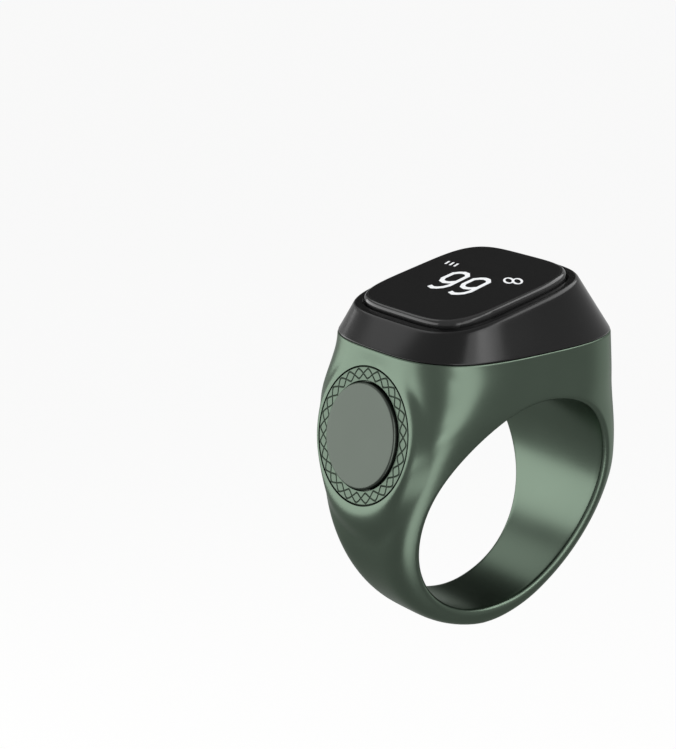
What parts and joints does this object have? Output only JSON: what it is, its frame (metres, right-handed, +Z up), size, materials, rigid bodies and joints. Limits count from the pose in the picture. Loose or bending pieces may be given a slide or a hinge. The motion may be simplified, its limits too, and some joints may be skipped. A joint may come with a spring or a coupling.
{
  "type": "digital tasbih counter",
  "caption": "Counting ring worn on a finger: flaring metal band, tilted display in a black cover, and a round push button with an ornamented trim ring on its side.",
  "frame": {"origin": "centre of the finger hole, midway along it", "axes": "+Y along the finger hole, +Z up through the display, -X towards the push button"},
  "size_m": [0.0257, 0.0186, 0.0316],
  "materials": {
    "anodised_green": "satin anodised",
    "anodised_trim": "satin anodised, engraved",
    "bezel_black": "moulded, semi-gloss",
    "lens_black": "dark tinted, polished",
    "clear_film": "clear film",
    "seal_rubber": "moulded",
    "panel_glass": "glass panel",
    "foam_black": "foam",
    "flex_print": "polyimide film",
    "board_laminate": "solder resist",
    "chip_epoxy": "moulded epoxy",
    "socket_plastic": "moulded",
    "ceramic_white": "ceramic",
    "steel": "bright",
    "battery_foil": "laminated foil",
    "lead_rubber": "silicone insulation",
    "contact_gold": "gold plated",
    "magnet_nickel": "nickel plated"
  },
  "bodies": {
    "ring": {"ring_body": "anodised_green", "button_trim_ring": "anodised_trim", "top_bezel": "bezel_black", "display_lens": "lens_black", "lens_adhesive": "clear_film", "bezel_gasket": "seal_rubber", "oled_panel": "panel_glass", "oled_foam": "foam_black", "battery_pad": "foam_black", "oled_flex": "flex_print", "switch_flex": "flex_print", "main_board": "board_laminate", "controller_chip": "chip_epoxy", "charge_chip": "chip_epoxy", "crystal": "steel", "chip_antenna": "ceramic_white", "board_passives": "ceramic_white", "display_connector": "socket_plastic", "switch_connector": "socket_plastic", "board_screws": "steel", "battery_cell": "battery_foil", "battery_leads": "lead_rubber", "motor_leads": "lead_rubber", "motor_can": "steel", "motor_base": "steel", "switch_dome": "steel", "switch_stiffener": "steel", "contact_block": "socket_plastic", "charge_contacts": "contact_gold", "charge_magnets": "magnet_nickel"},
    "button": {"button_cap": "anodised_green", "button_seal": "seal_rubber"},
    "motor_rotor": {"motor_rotor": "steel"}
  },
  "joints": [
    {"name": "button_press", "type": "slide", "parent": "ring", "child": "button", "axis": [0.9796, 0, -0.2007], "range_m": [0, 0.00025], "stiffness_N_per_m": 4000, "springref_m": -0.0001, "deforming": ["switch_dome"]},
    {"name": "motor_spin", "type": "hinge", "parent": "ring", "child": "motor_rotor", "pos_m": [0.00875, 0, 0.01011], "axis": [1, 0, 0], "continuous": true}
  ]
}
